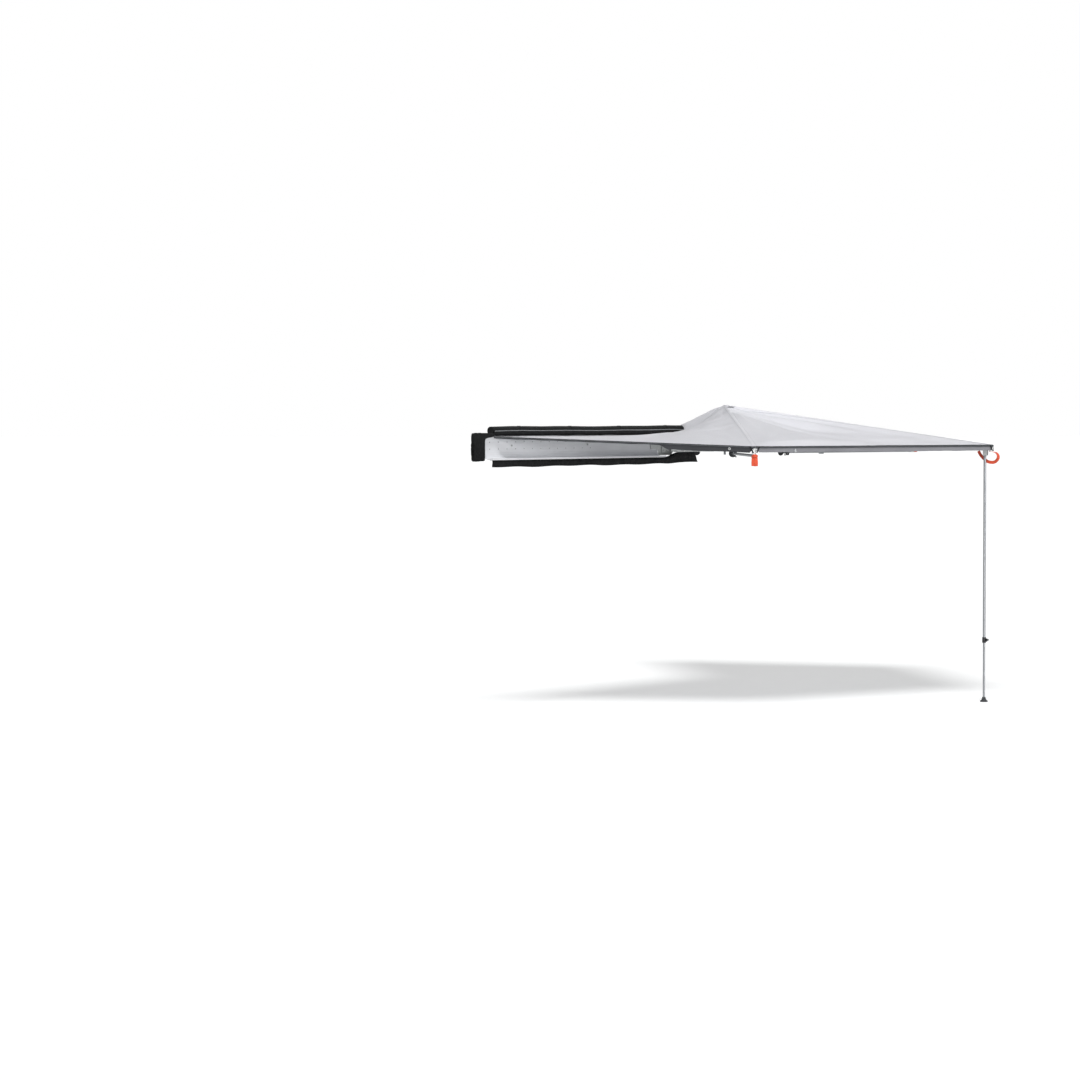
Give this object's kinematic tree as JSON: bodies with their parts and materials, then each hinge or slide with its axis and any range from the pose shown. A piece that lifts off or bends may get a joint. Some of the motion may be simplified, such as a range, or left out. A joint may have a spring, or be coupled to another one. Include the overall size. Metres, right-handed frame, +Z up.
{
  "type": "vehicle side awning",
  "caption": "Fan-shaped vehicle side awning: a perforated tray for a roof rack, swinging arms with fold-down telescopic legs, a peaked fabric canopy and hanging webbing.",
  "frame": {"origin": "middle of the underside of the middle rack bracket's foot", "axes": "+X along the tray towards the vehicle's front, +Y away from the vehicle, +Z up"},
  "size_m": [4.7981, 3.7024, 2.1433],
  "materials": {
    "aluminium": "mill finish, brushed along its length",
    "arm_aluminium": "grey anodised",
    "leg_aluminium": "satin anodised",
    "zinc_steel": "zinc plated",
    "black_nylon": "moulded, satin",
    "rubber": "matt",
    "canvas": "coated ripstop canvas, light cool grey",
    "cover_cloth": "PVC coated, satin black",
    "webbing": "woven webbing, orange red"
  },
  "bodies": {
    "case": {"tray": "aluminium", "rack_bracket_front": "zinc_steel", "rack_bracket_middle": "zinc_steel", "rack_bracket_rear": "zinc_steel", "hinge_plate": "zinc_steel", "outrigger": "zinc_steel", "hub_sleeve": "zinc_steel", "cover_roll": "cover_cloth", "cover_end_flap": "cover_cloth", "cover_lower_flap": "cover_cloth", "canopy_panel_1": "canvas"},
    "mast": {"peak_mast": "leg_aluminium", "mast_cap": "black_nylon"},
    "arm_1": {"arm_1_hub_link": "zinc_steel", "arm_1_tube": "arm_aluminium", "arm_1_corner_bracket": "zinc_steel", "arm_1_strap_ring": "zinc_steel", "arm_1_strap": "webbing", "canopy_panel_2": "canvas", "arm_2_pin": "zinc_steel"},
    "arm_2": {"arm_2_hub_link": "zinc_steel", "arm_2_tube": "arm_aluminium", "arm_2_corner_bracket": "zinc_steel", "arm_2_strap_ring": "zinc_steel", "arm_2_strap": "webbing", "canopy_panel_3": "canvas", "arm_3_pin": "zinc_steel"},
    "arm_3": {"arm_3_hub_link": "zinc_steel", "arm_3_tube": "arm_aluminium", "arm_3_corner_bracket": "zinc_steel", "arm_3_strap_ring": "zinc_steel", "arm_3_strap": "webbing", "canopy_panel_4": "canvas", "arm_4_pin": "zinc_steel"},
    "arm_4": {"arm_4_hub_link": "zinc_steel", "arm_4_tube": "arm_aluminium", "arm_4_corner_bracket": "zinc_steel", "arm_4_strap_ring": "zinc_steel", "arm_4_strap": "webbing", "canopy_panel_5": "canvas"},
    "leg_1": {"leg_1_upper_tube": "leg_aluminium", "leg_1_collar": "black_nylon"},
    "leg_1_lever": {"leg_1_cam_lever": "black_nylon"},
    "leg_1_extension": {"leg_1_lower_tube": "leg_aluminium", "leg_1_foot": "rubber"},
    "leg_2": {"leg_2_upper_tube": "leg_aluminium", "leg_2_collar": "black_nylon"},
    "leg_2_lever": {"leg_2_cam_lever": "black_nylon"},
    "leg_2_extension": {"leg_2_lower_tube": "leg_aluminium", "leg_2_foot": "rubber"},
    "leg_3": {"leg_3_upper_tube": "leg_aluminium", "leg_3_collar": "black_nylon"},
    "leg_3_lever": {"leg_3_cam_lever": "black_nylon"},
    "leg_3_extension": {"leg_3_lower_tube": "leg_aluminium", "leg_3_foot": "rubber"},
    "leg_4": {"leg_4_upper_tube": "leg_aluminium", "leg_4_collar": "black_nylon"},
    "leg_4_lever": {"leg_4_cam_lever": "black_nylon"},
    "leg_4_extension": {"leg_4_lower_tube": "leg_aluminium", "leg_4_foot": "rubber"}
  },
  "joints": [
    {"name": "mast_slide", "type": "slide", "parent": "case", "child": "mast", "axis": [0, 0, 1], "range_m": [-0.2, 0]},
    {"name": "arm_1_swing", "type": "hinge", "parent": "case", "child": "arm_1", "pos_m": [-1.36, 0.326, 0.074], "axis": [0, 0, 1], "range_deg": [-46, 0], "deforming": ["canopy_panel_1", "arm_1_strap"]},
    {"name": "arm_2_swing", "type": "hinge", "parent": "arm_1", "child": "arm_2", "pos_m": [-1.4214, 0.33032, 0.074], "axis": [0, 0, 1], "range_deg": [-63, 0], "deforming": ["canopy_panel_2", "arm_2_strap"]},
    {"name": "arm_3_swing", "type": "hinge", "parent": "arm_2", "child": "arm_3", "pos_m": [-1.45313, 0.27757, 0.074], "axis": [0, 0, 1], "range_deg": [-64, 0], "deforming": ["canopy_panel_3", "arm_3_strap"]},
    {"name": "arm_4_swing", "type": "hinge", "parent": "arm_3", "child": "arm_4", "pos_m": [-1.41963, 0.22593, 0.074], "axis": [0, 0, 1], "range_deg": [-64, 0], "deforming": ["canopy_panel_4", "arm_4_strap", "canopy_panel_5"]},
    {"name": "leg_1_fold", "type": "hinge", "parent": "arm_1", "child": "leg_1", "pos_m": [0.17098, 1.56576, 0.03], "axis": [0.6293, -0.7771, 0], "range_deg": [0, 90]},
    {"name": "leg_1_telescope", "type": "slide", "parent": "leg_1", "child": "leg_1_extension", "axis": [-0.7771, -0.6293, 0], "range_m": [0, 0.38]},
    {"name": "leg_1_cam", "type": "hinge", "parent": "leg_1", "child": "leg_1_lever", "pos_m": [-0.86925, 0.71311, 0.009], "axis": [-0.7771, -0.6293, 0], "range_deg": [0, 110]},
    {"name": "leg_2_fold", "type": "hinge", "parent": "arm_2", "child": "leg_2", "pos_m": [-1.83099, 2.25727, 0.03], "axis": [0.9781, 0.2079, 0], "range_deg": [-90, 0]},
    {"name": "leg_2_telescope", "type": "slide", "parent": "leg_2", "child": "leg_2_extension", "axis": [0, 0, -1], "range_m": [-0.38, 0]},
    {"name": "leg_2_cam", "type": "hinge", "parent": "leg_2", "child": "leg_2_lever", "pos_m": [-1.82753, 2.27948, -1.315], "axis": [0, 0, -1], "range_deg": [0, 110]},
    {"name": "leg_3_fold", "type": "hinge", "parent": "arm_3", "child": "leg_3", "pos_m": [-3.36461, 0.75416, 0.03], "axis": [0.2419, 0.9703, 0], "range_deg": [0, 90]},
    {"name": "leg_3_telescope", "type": "slide", "parent": "leg_3", "child": "leg_3_extension", "axis": [0.9703, -0.2419, 0], "range_m": [0, 0.38]},
    {"name": "leg_3_cam", "type": "hinge", "parent": "leg_3", "child": "leg_3_lever", "pos_m": [-2.05763, 0.43654, 0.009], "axis": [0.9703, -0.2419, 0], "range_deg": [0, 110]},
    {"name": "leg_4_fold", "type": "hinge", "parent": "arm_4", "child": "leg_4", "pos_m": [-2.68592, -1.28317, 0.03], "axis": [-0.766, 0.6428, 0], "range_deg": [0, 90]},
    {"name": "leg_4_telescope", "type": "slide", "parent": "leg_4", "child": "leg_4_extension", "axis": [0.6428, 0.766, 0], "range_m": [0, 0.38]},
    {"name": "leg_4_cam", "type": "hinge", "parent": "leg_4", "child": "leg_4_lever", "pos_m": [-1.8275, -0.2477, 0.009], "axis": [0.6428, 0.766, 0], "range_deg": [0, 110]}
  ]
}
